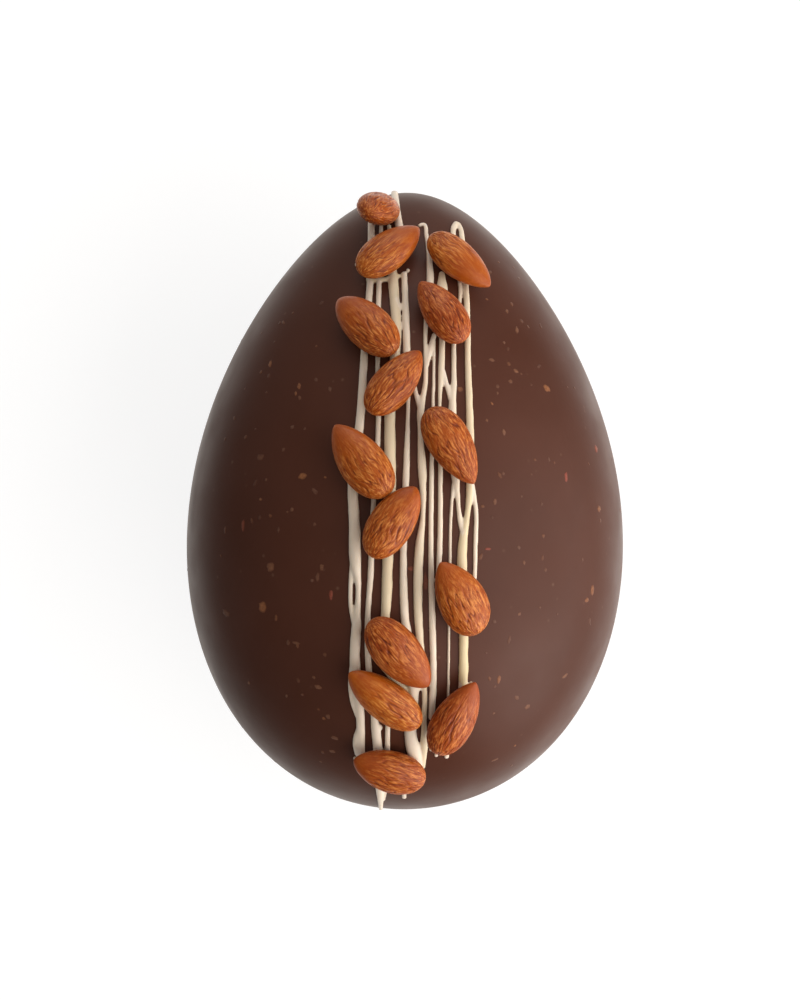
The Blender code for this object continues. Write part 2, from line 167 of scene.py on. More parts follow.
# The surround: its light at heights from 0, straight below, to 1, overhead
SURROUND = ((0, 1.25), (0.1, 1.25), (0.21, 0.32), (0.3, 0.08), (0.4, 0.03), (0.5, 0.03), (1, 0.60))
RIGHT_SHARE = 0.45                  # how much more comes from the right
TIP_SHARE = 0.4                     # how much more comes from the tip's side
TIP_SHINE = 0.5                     # what is added level with the tip
SURROUND_COLOUR = (1, 0.96, 0.90, 1)
BACKDROP_RADIUS = 20
WHITE, BLACK = (1, 1, 1, 1), (0, 0, 0, 1)

# Almonds
ALMOND_AROUND = 204
ALMOND_ALONG = 96
ALMOND_BLUNT_POWER = 0.48
ALMOND_PHASE = 50.0                 # keeps the almonds' wrinkles apart
ALMOND_BEND = 0.05                  # the most that one bends sideways, as a share of its half-width
ALMOND_INSET = 0.15 * MM            # how far the skin shrinks inside the solid, about
RIDGES = 5.4                        # steps of the ridges' pattern in a half-width around the almond
FINE_RIDGES = 2.0 * RIDGES
RIDGE_DRIFT = 0.22                  # how far the ridges wander around the almond
GROOVE_WIDTH, FINE_GROOVE_WIDTH = 0.11, 0.14
GROOVE_DEPTH = 0.28 * MM

# For each almond, in the order of the nodes: how its outline closes at the tip (0.5 being round),
# the redness of its skin from 0, golden, to 1, and where along it the ridges fade out to the tip
ALMONDS = (
    (0.62, 0.8, 0.7), (0.66, 0.2, 0.1), (0.66, 0.2, 0.0), (0.58, 0.6, 0.2), (0.68, 1.0, 0.8),
    (0.66, 0.6, 0.7), (0.71, 0.7, 0.9), (0.69, 0.4, 0.2), (0.60, 0.5, 0.4), (0.70, 0.5, 0.5),
    (0.62, 0.8, 0.4), (0.62, 0.0, 0.3), (0.70, 1.0, 0.5), (0.62, 0.7, 0.4),
)

# Colours
DARK_CHOCOLATE = ((0.064, 0.0205, 0.0115), (0.077, 0.0255, 0.0150))
CHOCOLATE_DUST = (0.20, 0.115, 0.075)
FLECK_BROWN, FLECK_ORANGE, FLECK_RED = (0.17, 0.090, 0.062), (0.30, 0.115, 0.045), (0.30, 0.066, 0.048)
# The creamy colour is darker than the white chocolate's own: painted shade, strongest on the strand at the
# right edge, where the light falls strongest
PLAIN_DRIZZLE, CREAMY_SHADED_DRIZZLE = (0.76, 0.65, 0.55), (0.66, 0.53, 0.31)
DRIZZLE_MOTTLE = (0.60, 0.47, 0.32)
THIN_DRIZZLE = (0.30, 0.20, 0.13)   # where the chocolate shows through
# Almond skin, for a golden almond and for a red one
SKIN_DARK = ((0.325, 0.060, 0.004), (0.25, 0.038, 0.003))
SKIN_LIGHT = ((0.405, 0.088, 0.005), (0.315, 0.055, 0.004))
# The crests: partly the ridges' own paler colour, partly painted highlight
SKIN_CREST_AND_HIGHLIGHT = ((0.64, 0.240, 0.048), (0.56, 0.170, 0.038))
# The grooves: painted shade
SKIN_GROOVE_SHADE = ((0.17, 0.027, 0.003), (0.115, 0.014, 0.002))
SKIN_SHEEN = (1.0, 0.75, 0.6, 1)

FOOD_IOR = 1.46

# Flecks in the chocolate: x, y, width across and length in mm, all as they look from the camera, how
# warm, from 0, grey-brown, over 1, orange, to 2, red, and how strong, from 0 to 1
FLECKS = (
    (-41.6, -31.4, 2.4, 3.3, 0.9, 0.9), (-30.3, 7.0, 2.7, 2.1, 0.9, 0.9),
    (41.2, 33.3, 2.2, 2.2, 1.0, 0.8), (-39.4, -19.7, 2.4, 3.0, 0.5, 0.7),
    (55.0, -25.6, 1.4, 3.3, 0.8, 0.8), (53.4, -28.6, 1.4, 1.5, 0.8, 0.7),
    (47.0, 7.3, 1.1, 3.3, 1.9, 0.8), (27.9, -52.1, 1.3, 2.5, 0.9, 0.7),
    (-21.5, -27.7, 1.3, 3.3, 1.8, 0.8), (-31.4, 33.4, 1.3, 2.2, 0.8, 0.8),
    (-39.9, 39.7, 1.1, 2.5, 0.8, 0.8), (24.3, -13.9, 1.9, 0.9, 1.9, 0.8),
    (55.8, 15.6, 1.0, 2.5, 1.7, 0.8), (56.8, -1.9, 1.1, 2.2, 0.6, 0.8),
    (36.3, -60.0, 1.7, 1.7, 0.4, 0.7), (-25.1, -54.7, 2.2, 1.4, 0.4, 0.8),
    (-20.1, -69.6, 2.5, 1.3, 0.3, 0.8), (-20.8, -73.5, 2.2, 1.1, 0.3, 0.7),
    (32.1, 38.2, 1.7, 1.4, 0.5, 0.7), (28.7, 20.3, 1.3, 1.9, 0.3, 0.8), (32.3, 50.2, 1.1, 2.5, 0.4, 0.7),
    (30.7, 57.8, 1.1, 1.4, 0.4, 0.6), (29.3, 55.7, 1.1, 1.4, 0.4, 0.6), (26.3, -0.1, 1.1, 2.2, 0.4, 0.6),
    (47.1, -50.9, 1.9, 1.4, 0.4, 0.7), (-31.7, -41.9, 2.8, 1.1, 0.3, 0.6),
    (-47.4, -7.6, 1.0, 3.8, 1.7, 0.5), (1.9, -19.9, 2.2, 1.7, 1.7, 0.5),
    (6.2, -23.7, 1.4, 5.4, 1.6, 0.5), (15.7, 32.8, 1.7, 1.7, 0.7, 0.7),
    (-24.3, -19.6, 1.3, 2.2, 0.4, 0.7), (25.0, 41.4, 2.2, 1.1, 0.4, 0.6),
    (26.9, -75.6, 2.5, 0.9, 0.3, 0.7), (-42.6, 12.4, 2.5, 2.2, 0.3, 0.4),
    (-52.2, -33.3, 2.5, 2.2, 0.3, 0.4), (-22.1, -63.4, 1.4, 1.9, 0.3, 0.6),
)
SMALL_FRONT_FLECKS = 105
SMALL_BACK_FLECKS = 150
BAND_EDGE = 22 * MM                 # small flecks stay outside the drizzled band
FLECK_SEED = 11
FLECK_SIDES = 12
# Rings of a fleck from its middle out: share of its size, height, and how much of its colour shows
FLECK_RINGS = ((0.3, 0.07, 1.0), (0.62, 0.055, 0.85), (0.85, 0.02, 0.4), (1.0, -0.04, 0.0))


def shell_radius(station):
    """Radius of the shell at a station from -1, the blunt end, to 1, the tip."""
    growth = 1 + sum(k * station ** (power + 1) for power, k in enumerate(TAPER))
    return MID_RADIUS * np.sqrt(np.clip(1 - station ** 2, 0, None)) * growth


STATIONS = np.sin(np.linspace(-math.pi / 2, math.pi / 2, STATION_COUNT))
ALONG = HALF_LENGTH * STATIONS
RADII = shell_radius(STATIONS)
SLOPES = np.gradient(RADII, ALONG)
WIDEST = int(RADII.argmax())
CENTRE = np.array((0, -ALONG[WIDEST], RADII[WIDEST] - REST_DEPTH))


def normals(points):
    """Directions straight out of the shell at points near it. The axis is Y, through the origin."""
    reach = np.hypot(points[:, 0], points[:, 2])
    slope = np.interp(points[:, 1], ALONG, SLOPES)
    out = np.column_stack((points[:, 0] / reach, -slope, points[:, 2] / reach))
    return out / np.linalg.norm(out, axis=1)[:, None]


def clearance(points):
    """Height over the shell of points near it, below zero inside."""
    reach = np.hypot(points[:, 0], points[:, 2])
    slope = np.interp(points[:, 1], ALONG, SLOPES)
    return (reach - np.interp(points[:, 1], ALONG, RADII)) / np.sqrt(1 + slope ** 2)


def lift(x, y):
    """The points of the shell that look to be at x, y from the camera."""
    eye = np.array((0, 0, EYE_HEIGHT))
    rays = np.column_stack((x, y, np.zeros(len(x)))) - eye
    shares = np.linspace(NEAR_SHARE, FAR_SHARE, RAY_STEPS)
    gaps = np.array([clearance(eye + share * rays) for share in shares])
    first = np.where((gaps < 0).any(axis=0), (gaps < 0).argmax(axis=0), gaps.argmin(axis=0))
    points = eye + shares[first][:, None] * rays
    return points - clearance(points)[:, None] * normals(points)


def smooth_route(points, step):
    """Rows of x, y and width at even steps along a smooth curve through the given rows."""
    rows = np.array(points) * MM
    along = np.concatenate(([0], np.cumsum(np.hypot(*np.diff(rows[:, :2], axis=0).T))))
    tangents = np.gradient(rows, along, axis=0)
    places = np.linspace(0, along[-1], int(along[-1] / step) + 2)
    left = np.clip(np.searchsorted(along, places, side="right") - 1, 0, len(along) - 2)
    span = (along[left + 1] - along[left])[:, None]
    t = (places - along[left])[:, None] / span
    return ((2 * t ** 3 - 3 * t ** 2 + 1) * rows[left] + (t ** 3 - 2 * t ** 2 + t) * span * tangents[left]
            + (3 * t ** 2 - 2 * t ** 3) * rows[left + 1] + (t ** 3 - t ** 2) * span * tangents[left + 1])


def add_object(name, mesh):
    thing = bpy.data.objects.new(name, mesh)
    bpy.context.scene.collection.objects.link(thing)
    return thing


def applied(thing):
    """Turn an object's modifiers into its mesh."""
    bpy.context.view_layer.update()
    mesh = bpy.data.meshes.new_from_object(thing.evaluated_get(bpy.context.evaluated_depsgraph_get()))
    thing.modifiers.clear()
    thing.data = mesh
    return mesh


def vertex_array(mesh):
    places = np.empty(3 * len(mesh.vertices))
    mesh.vertices.foreach_get("co", places)
    return places.reshape(-1, 3)


def set_vertices(mesh, places):
    mesh.vertices.foreach_set("co", np.ascontiguousarray(places, dtype=np.float32).ravel())
    mesh.update()


def store(mesh, name, values):
    """Keep a number or a vector for each point of a mesh, for its material to read."""
    values = np.ascontiguousarray(values, dtype=np.float32)
    kind, field = ("FLOAT", "value") if values.ndim == 1 else ("FLOAT_VECTOR", "vector")
    layer = mesh.attributes.new(name, kind, "POINT")
    layer.data.foreach_set(field, values.ravel())


class Nodes:
    """Short ways to build the nodes of a material or of the world."""

    def __init__(self, owner, shader="Principled BSDF"):
        owner.use_nodes = True
        self.owner = owner
        self.tree = owner.node_tree
        self.shader = self.tree.nodes[shader]

    def add(self, kind, **values):
        node = self.tree.nodes.new(kind)
        for name, value in values.items():
            setattr(node, name, value)
        return node

    def link(self, source, target):
        self.tree.links.new(source, target)

    def place(self):
        return self.add("ShaderNodeTexCoord").outputs["Object"]

    def noise(self, where, scale, detail=3.0, roughness=0.5):
        node = self.add("ShaderNodeTexNoise")
        node.inputs["Scale"].default_value = scale
        node.inputs["Detail"].default_value = detail
        node.inputs["Roughness"].default_value = roughness
        self.link(where, node.inputs["Vector"])
        return node.outputs["Fac"]

    def spread(self, value, low, high, to_low=0.0, to_high=1.0):
        """A value moved from one range to another, held at its ends."""
        node = self.add("ShaderNodeMapRange")
        self.link(value, node.inputs["Value"])
        limits = {"From Min": low, "From Max": high, "To Min": to_low, "To Max": to_high}
        for socket, number in limits.items():
            node.inputs[socket].default_value = number
        return node.outputs["Result"]

    def stretch(self, where, x, y, z):
        node = self.add("ShaderNodeMapping")
        node.inputs["Scale"].default_value = (x, y, z)
        self.link(where, node.inputs["Vector"])
        return node.outputs["Vector"]

    def math(self, operation, a, b):
        node = self.add("ShaderNodeMath", operation=operation)
        for socket, value in zip(node.inputs, (a, b)):
            if isinstance(value, (int, float)):
                socket.default_value = value
            else:
                self.link(value, socket)
        return node.outputs[0]

    def mix(self, share, a, b):
        """Two colours mixed; a and b are colours or sockets."""
        node = self.add("ShaderNodeMix", data_type="RGBA")
        self.link(share, node.inputs["Factor"])
        for socket, value in ((node.inputs[6], a), (node.inputs[7], b)):
            if isinstance(value, tuple):
                socket.default_value = (*value, 1)
            else:
                self.link(value, socket)
        return node.outputs[2]

    def stored(self, name, output="Fac"):
        return self.add("ShaderNodeAttribute", attribute_name=name).outputs[output]

    def bump(self, height, distance, strength=1.0, under=None):
        node = self.add("ShaderNodeBump")
        node.inputs["Distance"].default_value = distance
        node.inputs["Strength"].default_value = strength
        self.link(height, node.inputs["Height"])
        if under is not None:
            self.link(under, node.inputs["Normal"])
        return node.outputs["Normal"]

    def set(self, **values):
        for name, value in values.items():
            socket = self.shader.inputs[name.replace("_", " ")]
            if isinstance(value, bpy.types.NodeSocket):
                self.link(value, socket)
            else:
                socket.default_value = value


def chocolate_colour(n, where):
    """Dark chocolate with a faint cloudiness."""
    clouds = n.noise(where, 28, 4, 0.55)
    return n.mix(n.spread(clouds, 0.3, 0.7), *DARK_CHOCOLATE)


def finish_chocolate(n, where, colour):
    """A satin skin that isn't quite even."""
    normal = n.bump(n.noise(where, 45, 3, 0.5), 0.4 * MM, 0.25)
    normal = n.bump(n.noise(where, 900, 2, 0.6), 0.03 * MM, 0.35, normal)
    roughness = n.spread(n.noise(where, 60, 4), 0.3, 0.7, 0.36, 0.48)
    n.set(Base_Color=colour, Roughness=roughness, Normal=normal)
    n.shader.inputs["IOR"].default_value = FOOD_IOR
    n.shader.inputs["Specular IOR Level"].default_value = 0.17
    return n.owner


def chocolate_material():
    """The shell's chocolate, with the finest dust of pale specks."""
    n = Nodes(bpy.data.materials.new("dark_chocolate"))
    where = n.place()
    dust = n.add("ShaderNodeTexVoronoi", feature="F1")
    dust.inputs["Scale"].default_value = 230
    n.link(where, dust.inputs["Vector"])
    near = n.spread(dust.outputs["Distance"], 0.04, 0.15, 1.0, 0.0)
    chosen = n.spread(n.noise(where, 95, 1), 0.52, 0.66)
    share = n.math("MULTIPLY", n.math("MULTIPLY", near, chosen), 0.3)
    colour = n.mix(share, chocolate_colour(n, where), CHOCOLATE_DUST)
    return finish_chocolate(n, where, colour)


def fleck_material():
    """Bits in the chocolate, from grey-brown to orange and red, blurred into it at their edges."""
    n = Nodes(bpy.data.materials.new("inclusions"))
    where = n.place()
    body = n.mix(n.stored("warmth"), FLECK_BROWN, FLECK_ORANGE)
    body = n.mix(n.spread(n.stored("warmth"), 1, 2), body, FLECK_RED)
    mottle = n.spread(n.noise(where, 1400, 3, 0.6), 0.35, 0.65, 0.55, 1.0)
    colour = n.mix(n.math("MULTIPLY", n.stored("strength"), mottle), chocolate_colour(n, where), body)
    return finish_chocolate(n, where, colour)


def drizzle_material():
    """White chocolate: creamier in some strands, where it is also darker as painted shade, and darker
    where it thins out to the shell.
    """
    n = Nodes(bpy.data.materials.new("white_chocolate"))
    where = n.place()
    # creamier strands are also darker: painted shade
    plain = n.mix(n.stored("cream_and_shade"), PLAIN_DRIZZLE, CREAMY_SHADED_DRIZZLE)
    mottled = n.mix(n.spread(n.noise(where, 240, 4), 0.35, 0.7, 0.0, 0.25), plain, DRIZZLE_MOTTLE)
    colour = n.mix(n.spread(n.stored("height"), 0.0, 0.4), THIN_DRIZZLE, mottled)
    normal = n.bump(n.noise(where, 700, 3, 0.6), 0.05 * MM, 0.5)
    roughness = n.spread(n.noise(where, 150, 3), 0.3, 0.7, 0.36, 0.52)
    n.set(Base_Color=colour, Roughness=roughness, Normal=normal)
    n.shader.inputs["IOR"].default_value = FOOD_IOR
    n.shader.inputs["Specular IOR Level"].default_value = 0.35
    n.shader.inputs["Subsurface Weight"].default_value = 0.15
    n.shader.inputs["Subsurface Radius"].default_value = (1.0, 0.7, 0.45)
    n.shader.inputs["Subsurface Scale"].default_value = 0.8 * MM
    return n.owner


def almond_material(name, number, redness):
    """Roasted skin: paler crests on the ridges, partly their own colour and partly painted highlight,
    painted shade in the grooves between them, and a slight gloss.
    """
    def shade(golden, red):
        return tuple((1 - redness) * a + redness * b for a, b in zip(golden, red))

    n = Nodes(bpy.data.materials.new(name))
    mapping = n.add("ShaderNodeMapping")
    mapping.inputs["Location"].default_value = (number, 0, 0)
    n.link(n.stored("skin_place", "Vector"), mapping.inputs["Vector"])
    where = mapping.outputs["Vector"]
    lengthwise = n.stretch(where, 1, 0.15, 1)
    body = n.mix(n.spread(n.noise(where, 170, 3, 0.6), 0.35, 0.65), shade(*SKIN_DARK), shade(*SKIN_LIGHT))
    grains = n.noise(lengthwise, 1700, 4, 0.6)
    # paler crests: partly the ridges' own colour, partly painted highlight
    crest = n.math("MULTIPLY", n.stored("crest"), n.spread(grains, 0.44, 0.62))
    body = n.mix(crest, body, shade(*SKIN_CREST_AND_HIGHLIGHT))
    # darker in the grooves: painted shade
    colour = n.mix(n.spread(n.stored("groove"), 0.15, 0.9), body, shade(*SKIN_GROOVE_SHADE))
    normal = n.bump(grains, 0.14 * MM, 0.6)
    roughness = n.spread(n.noise(where, 400, 3), 0.3, 0.7, 0.30, 0.46)
    n.set(Base_Color=colour, Roughness=roughness, Normal=normal)
    n.shader.inputs["IOR"].default_value = FOOD_IOR
    n.shader.inputs["Specular IOR Level"].default_value = 0.3
    n.shader.inputs["Sheen Weight"].default_value = 0.05
    n.shader.inputs["Sheen Roughness"].default_value = 0.35
    n.shader.inputs["Sheen Tint"].default_value = SKIN_SHEEN
    return n.owner


def add_shell():
    """The moulded shell with its flat resting spot."""
    angles = np.linspace(0, math.pi, SHELL_RINGS + 1)
    radii = np.maximum(shell_radius(np.cos(angles)) - SHELL_INSET, 0)
    mesh = bpy.data.meshes.new("shell")
    mesh.from_pydata([(radius, 0, HALF_LENGTH * math.cos(angle)) for radius, angle in zip(radii, angles)],
                     [(ring, ring + 1) for ring in range(SHELL_RINGS)], [])
    shell = add_object("shell", mesh)
    screw = shell.modifiers.new("turned", "SCREW")
    screw.angle = 2 * math.pi
    screw.steps = screw.render_steps = SHELL_SIDES
    screw.use_merge_vertices = True
    screw.merge_threshold = 0.00001
    mesh = applied(shell)
    mesh.transform(Matrix.Translation(Vector(CENTRE)) @ Matrix.Rotation(-math.pi / 2, 4, "X"))
    places = vertex_array(mesh)
    places[:, 2] = np.maximum(places[:, 2], 0)
    set_vertices(mesh, places)
    mesh.shade_smooth()
    mesh.materials.append(chocolate_material())
    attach(shell, "root")
    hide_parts("egg")


def even_spine(spine, width):
    """A spine on the shell, its widths and its places along, at even steps as measured on the shell."""
    steps = np.linalg.norm(np.diff(spine, axis=0), axis=1)
    along = np.concatenate(([0], np.cumsum(steps)))
    place = np.linspace(0, along[-1], int(along[-1] / STRAND_SAMPLE) + 2)
    spine = np.column_stack([np.interp(place, along, spine[:, axis]) for axis in range(3)])
    spine -= clearance(spine)[:, None] * normals(spine)
    return spine, np.interp(place, along, width), place


def strand_rings(points, seed, height=STRAND_RISE):
    """Rings of a closed strand about its route, and the route itself."""
    rows = smooth_route(points, STRAND_SAMPLE)
    count = len(rows)
    phase = STRAND_PHASE * seed
    wave = np.array([noise.noise(Vector((WAVE_STEP * i, phase, 0))) for i in range(count)])
    ripple = np.array([noise.noise(Vector((RIPPLE_STEP * i, phase, 9))) for i in range(count)])
    width = rows[:, 2] * (1 + WAVES * wave + RIPPLES * ripple)
    spine, width, place = even_spine(lift(rows[:, 0] + WAVER * wave, rows[:, 1]), width)
    ahead = np.gradient(spine, axis=0)
    ahead /= np.linalg.norm(ahead, axis=1)[:, None]
    up = normals(spine)
    side = np.cross(ahead, up)
    to_end = np.minimum(place, place[-1] - place) + 0.2 * STRAND_SAMPLE
    closing = np.sqrt(1 - (1 - np.clip(to_end / (width / 2), 0, 1)) ** 2)
    rings = []
    for turn in np.linspace(0, 2 * math.pi, STRAND_SIDES, endpoint=False):
        across = math.cos(turn) * width / 2 * closing
        rise = math.sin(turn) * (height * width * closing if math.sin(turn) > 0 else STRAND_ROOT)
        rings.append(spine + across[:, None] * side + np.broadcast_to(rise, len(place))[:, None] * up)
    return np.stack(rings, axis=1), spine


def drop_rings(x, y, width):
    """Rings and spine of a small flattened drop, as a very short strand."""
    reach = width / 2
    rows = ((x, y - reach, width), (x, y, width), (x, y + reach, width))
    return strand_rings(rows, seed=int(10 * abs(x)), height=DROP_RISE)


def bodies_mesh(bodies):
    """One mesh of closed bodies, each given by its rings."""
    vertices, faces = [], []
    for rings in bodies:
        base = len(vertices)
        count = len(rings)
        vertices.extend(rings.reshape(-1, 3))
        for i in range(count - 1):
            for j in range(STRAND_SIDES):
                k = (j + 1) % STRAND_SIDES
                near, far = base + i * STRAND_SIDES, base + (i + 1) * STRAND_SIDES
                faces.append((near + j, near + k, far + k, far + j))
        faces.append(tuple(base + j for j in reversed(range(STRAND_SIDES))))
        faces.append(tuple(base + (count - 1) * STRAND_SIDES + j for j in range(STRAND_SIDES)))
    mesh = bpy.data.meshes.new("drizzle")
    mesh.from_pydata([tuple(v) for v in vertices], [], faces)
    face_outward(mesh)
    return mesh


def face_outward(mesh):
    form = bmesh.new()
    form.from_mesh(mesh)
    bmesh.ops.recalc_face_normals(form, faces=form.faces)
    form.to_mesh(mesh)
    form.free()


def drizzle_bodies():
    """The rings of every strand and drop, the points of their routes, and how creamy each point is, which
    also sets painted shade.
    """
    runs = [(*strand_rings(points, seed), CREAM_AND_SHADE.get(name, PLAIN_CREAM))
            for seed, (name, points) in enumerate((STRANDS | SMALL_STRANDS).items())]
    runs += [(*drop_rings(*drop), PLAIN_CREAM) for drop in DROPS]
    bodies = [rings for rings, _, _ in runs]
    route = np.concatenate([spine for _, spine, _ in runs])
    cream_and_shade_shares = np.concatenate([np.linspace(*cream_and_shade, len(spine)) for _, spine, cream_and_shade in runs])
    return bodies, route, cream_and_shade_shares


def melt(drizzle):
    """Melt the bodies together where they meet, soften them, and thin out their faces."""
    remesh = drizzle.modifiers.new("melt", "REMESH")
    remesh.mode = "VOXEL"
    remesh.voxel_size = STRAND_VOXEL
    smooth = drizzle.modifiers.new("soften", "SMOOTH")
    smooth.factor = 0.5
    smooth.iterations = STRAND_SMOOTHING
    thin = drizzle.modifiers.new("thin", "DECIMATE")
    thin.ratio = STRAND_THINNING
    return applied(drizzle)


def nearest_rows(places, points):
    """For each place, which of the points lies nearest."""
    tree = kdtree.KDTree(len(points))
    for index, point in enumerate(points):
        tree.insert(point, index)
    tree.balance()
    return [tree.find(place)[1] for place in places]


def add_drizzle():
    """Every strand and drop as one body."""
    bodies, route, cream_and_shade_shares = drizzle_bodies()
    drizzle = add_object("drizzle", bodies_mesh(bodies))
    mesh = melt(drizzle)
    places = vertex_array(mesh)
    store(mesh, "height", clearance(places) / MM)
    # how creamy each point is, and with it how much painted shade it takes
    store(mesh, "cream_and_shade", cream_and_shade_shares[nearest_rows(places, route)])
    set_vertices(mesh, np.clip(places + CENTRE, *cad_box))
    mesh.shade_smooth()
    mesh.materials.append(drizzle_material())
    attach(drizzle, "root")
    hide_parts("egg")


def small_fleck(draw):
    """The size, warmth and strength of one of the many small flecks."""
    long_one = draw.random() < 0.3
    width = draw.uniform(0.8, 1.4)
    length = width * (draw.uniform(1.5, 2.4) if long_one else draw.uniform(0.8, 1.3))
    return width, length, draw.random() ** 2, draw.uniform(0.25, 0.75)


def front_place(draw):
    """A place on the upper face outside the drizzled band, as it looks from the camera."""
    while True:
        station = draw.uniform(-0.93, 0.93)
        reach = 0.94 * float(shell_radius(np.array(station)))
        x = draw.uniform(-reach, reach)
        if abs(x) > BAND_EDGE:
            return lift(np.array((x,)), np.array((HALF_LENGTH * station,)))[0]


def back_place(draw):
    """A place on the sides and the back, clear of the resting spot."""
    while True:
        station = draw.uniform(-0.94, 0.96)
        turn = math.radians(draw.uniform(-100, 280))
        radius = float(shell_radius(np.array(station)))
        point = np.array((radius * math.cos(turn), HALF_LENGTH * station, radius * math.sin(turn)))
        if 2 * REST_DEPTH - CENTRE[2] < point[2] < 0.2 * MID_RADIUS:
            return point


def fleck_points(middle, width, length, turn, draw):
    """Rings of points of a thin patch lying on the shell."""
    out = normals(middle[None])[0]
    along = np.cross(out, (1, 0, 0))
    along /= np.linalg.norm(along)
    across = np.cross(along, out)
    angles = np.linspace(0, 2 * math.pi, FLECK_SIDES, endpoint=False)
    wobble = 1 + 0.22 * np.array([draw.uniform(-1, 1) for _ in angles])
    x = width / 2 * wobble * np.cos(angles)
    y = length / 2 * wobble * np.sin(angles)
    x, y = x * math.cos(turn) - y * math.sin(turn), x * math.sin(turn) + y * math.cos(turn)
    flat = x[:, None] * across + y[:, None] * along
    points = [middle + (FLECK_RINGS[0][1] * MM - SHELL_INSET) * out]
    for share, height, _ in FLECK_RINGS:
        ring = middle + share * flat
        ring = ring + (height * MM - SHELL_INSET - clearance(ring))[:, None] * normals(ring)
        points.extend(ring)
    return points


def fleck_faces(base):
    """Faces of one patch: a fan about its middle, then bands between its rings."""
    faces = []
    for side in range(FLECK_SIDES):
        after = (side + 1) % FLECK_SIDES
        faces.append((base, base + 1 + side, base + 1 + after))
        for ring in range(len(FLECK_RINGS) - 1):
            inner = base + 1 + ring * FLECK_SIDES
            outer = inner + FLECK_SIDES
            faces.append((inner + side, outer + side, outer + after, inner + after))
    return faces


def all_flecks(draw):
    """Middle, sizes, turn, warmth and strength of each fleck: the placed ones first, then the drawn."""
    flecks = []
    for x, y, width, length, warmth, strength in FLECKS:
        middle = lift(np.array((x * MM,)), np.array((y * MM,)))[0]
        seen = np.sqrt(1 - normals(middle[None])[0, :2] ** 2)
        flecks.append((middle, width / seen[0], length / seen[1], 0, warmth, strength))
    for count, place in ((SMALL_FRONT_FLECKS, front_place), (SMALL_BACK_FLECKS, back_place)):
        for _ in range(count):
            width, length, warmth, strength = small_fleck(draw)
            flecks.append((place(draw), width, length, draw.gauss(0, 0.5), warmth, strength))
    return flecks


def add_flecks():
    """Small bits that show in the chocolate, as thin patches on the shell."""
    draw = random.Random(FLECK_SEED)
    vertices, faces, warmths, strengths = [], [], [], []
    for middle, width, length, turn, warmth, strength in all_flecks(draw):
        faces.extend(fleck_faces(len(vertices)))
        points = fleck_points(middle, width * MM, length * MM, turn, draw)
        vertices.extend(points)
        warmths.extend([warmth] * len(points))
        shares = [1.0] + [share for _, _, share in FLECK_RINGS for _ in range(FLECK_SIDES)]
        strengths.extend(strength * share for share in shares)
    mesh = bpy.data.meshes.new("flecks")
    mesh.from_pydata([tuple(v + CENTRE) for v in vertices], [], faces)
    store(mesh, "warmth", warmths)
    store(mesh, "strength", strengths)
    mesh.shade_smooth()
    mesh.materials.append(fleck_material())
    thing = add_object("flecks", mesh)
    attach(thing, "root")
    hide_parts("egg")


def almond_outline(place, tip_power):
    """Half-width of an almond, as a share of its greatest, from -1 at the blunt end to 1 at the tip."""
    widest = (ALMOND_BLUNT_POWER - tip_power) / (ALMOND_BLUNT_POWER + tip_power)

    def closing(s):
        return (1 - s) ** tip_power * (1 + s) ** ALMOND_BLUNT_POWER

    return closing(place) / closing(widest)


def almond_frame(node):
    """Where a CAD almond lies and its half sizes: axes across, towards the tip and out of the shell."""
    places = np.unique(vertex_array(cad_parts[node].data).round(6), axis=0)
    middle = places.mean(axis=0)
    _, _, axes = np.linalg.svd(places - middle, full_matrices=False)
    tip, across, out = axes
    shell_out = normals((middle - CENTRE)[None])[0]
    if out @ shell_out < 0:
        out = -out
    spread = (places - middle) @ tip
    reach = np.linalg.norm((places - middle) - spread[:, None] * tip, axis=1)
    if reach @ spread > 0:      # the blunt end is the fuller one
        tip = -tip
    across = np.cross(tip, out)
    local = (places - middle) @ np.stack((across, tip, out), axis=1)
    low, high = local.min(axis=0), local.max(axis=0)
    origin = middle + np.stack((across, tip, out), axis=1) @ ((low + high) / 2)
    return origin, np.stack((across, tip, out), axis=1), (high - low) / 2


def skin_relief(c, s, place, phase):
    """How deep a groove and how high a ridge lie at a direction across (c, s) and a place along."""
    drift = RIDGE_DRIFT * noise.noise(Vector((1.2 * c + phase, 1.2 * s, 2.4 * place)))
    c, s = c + drift * s, s - drift * c
    main = noise.noise(Vector((RIDGES * c + phase, RIDGES * s, 1.6 * place)))
    fine = noise.noise(Vector((FINE_RIDGES * c, FINE_RIDGES * s + phase, 2.8 * place)))
    deep = max(0.0, 1 - abs(main) / GROOVE_WIDTH)
    thin = max(0.0, 1 - abs(fine) / FINE_GROOVE_WIDTH)
    # the groove also darkens the skin's colour as painted shade
    groove = min(1.0, 0.75 * deep + 0.45 * thin)
    # the crest lightens the colour: partly the ridges' own, partly painted highlight
    crest = min(1.0, max(0.0, abs(fine) + 0.5 * abs(main) - 0.12) / 0.22) * (1 - 0.6 * deep)
    return groove, crest


